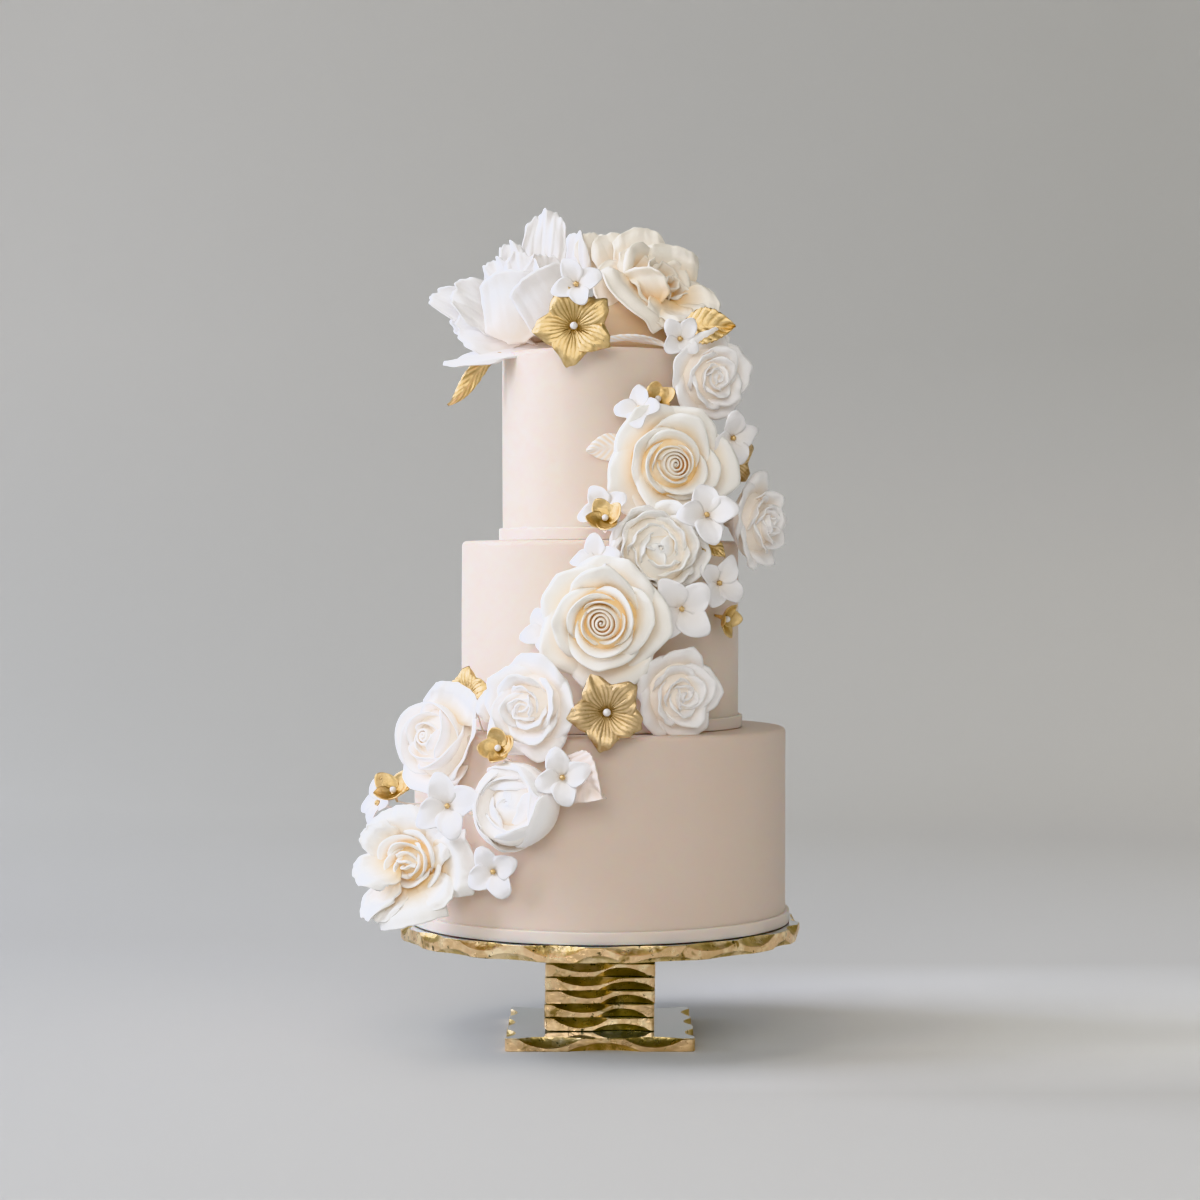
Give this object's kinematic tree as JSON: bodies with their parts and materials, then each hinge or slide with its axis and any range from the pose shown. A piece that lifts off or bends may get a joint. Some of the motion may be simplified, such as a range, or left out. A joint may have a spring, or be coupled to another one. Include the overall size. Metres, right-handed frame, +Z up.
{
  "type": "tiered wedding cake on stand",
  "caption": "Round fondant-covered cake in stacked tiers, with a cascade of sugar roses, blossoms and gilt flowers, on a chipped glass pedestal with gilded edges.",
  "frame": {"origin": "centre of the flat underside of the stand's foot, on the table", "axes": "+Z up along the cake's axis; -Y is the front, with the cascade running from the top right to the lower left as seen from there; +X to the viewer's right"},
  "size_m": [0.2536, 0.2484, 0.4747],
  "materials": {
    "fondant": "matte",
    "border": "matte",
    "white": "matte",
    "cream": "matte",
    "gilt": "satin",
    "glass": "gloss"
  },
  "bodies": {
    "root": {"blossom_01": "white", "blossom_02": "white", "blossom_03": "white", "blossom_04": "white", "blossom_05": "white", "blossom_06": "white", "blossom_07": "white", "blossom_08": "white", "blossom_09": "white", "blossom_10": "white", "blossom_11": "white", "blossom_12": "white", "blossom_13": "white", "blossom_14": "white", "blossom_15": "white", "border_bottom": "border", "border_middle": "border", "border_top": "border", "dome": "fondant", "garden_rose": "cream", "gilt_cup_01": "gilt", "gilt_cup_02": "gilt", "gilt_cup_03": "gilt", "gilt_cup_04": "gilt", "gilt_cup_05": "gilt", "gilt_flower_01": "gilt", "gilt_flower_02": "gilt", "gilt_flower_03": "gilt", "gilt_flower_04": "gilt", "gilt_leaf_01": "gilt", "gilt_leaf_02": "gilt", "gilt_leaf_03": "gilt", "peony": "white", "ranunculus_high": "white", "ranunculus_low": "white", "rose_back": "white", "rose_foot": "cream", "rose_high": "white", "rose_ledge": "white", "rose_left": "white", "rose_low_right": "white", "rose_middle": "cream", "rose_right": "white", "rose_side": "white", "rose_upper": "cream", "stand_foot": "glass", "stand_plate": "glass", "stand_slab_1": "glass", "stand_slab_2": "glass", "stand_slab_3": "glass", "stand_slab_4": "glass", "stand_slab_5": "glass", "stand_slab_6": "glass", "stand_slab_7": "glass", "sugar_leaf_01": "white", "sugar_leaf_02": "white", "sugar_leaf_03": "white", "tier_bottom": "fondant", "tier_middle": "fondant", "tier_top": "fondant"}
  },
  "joints": []
}
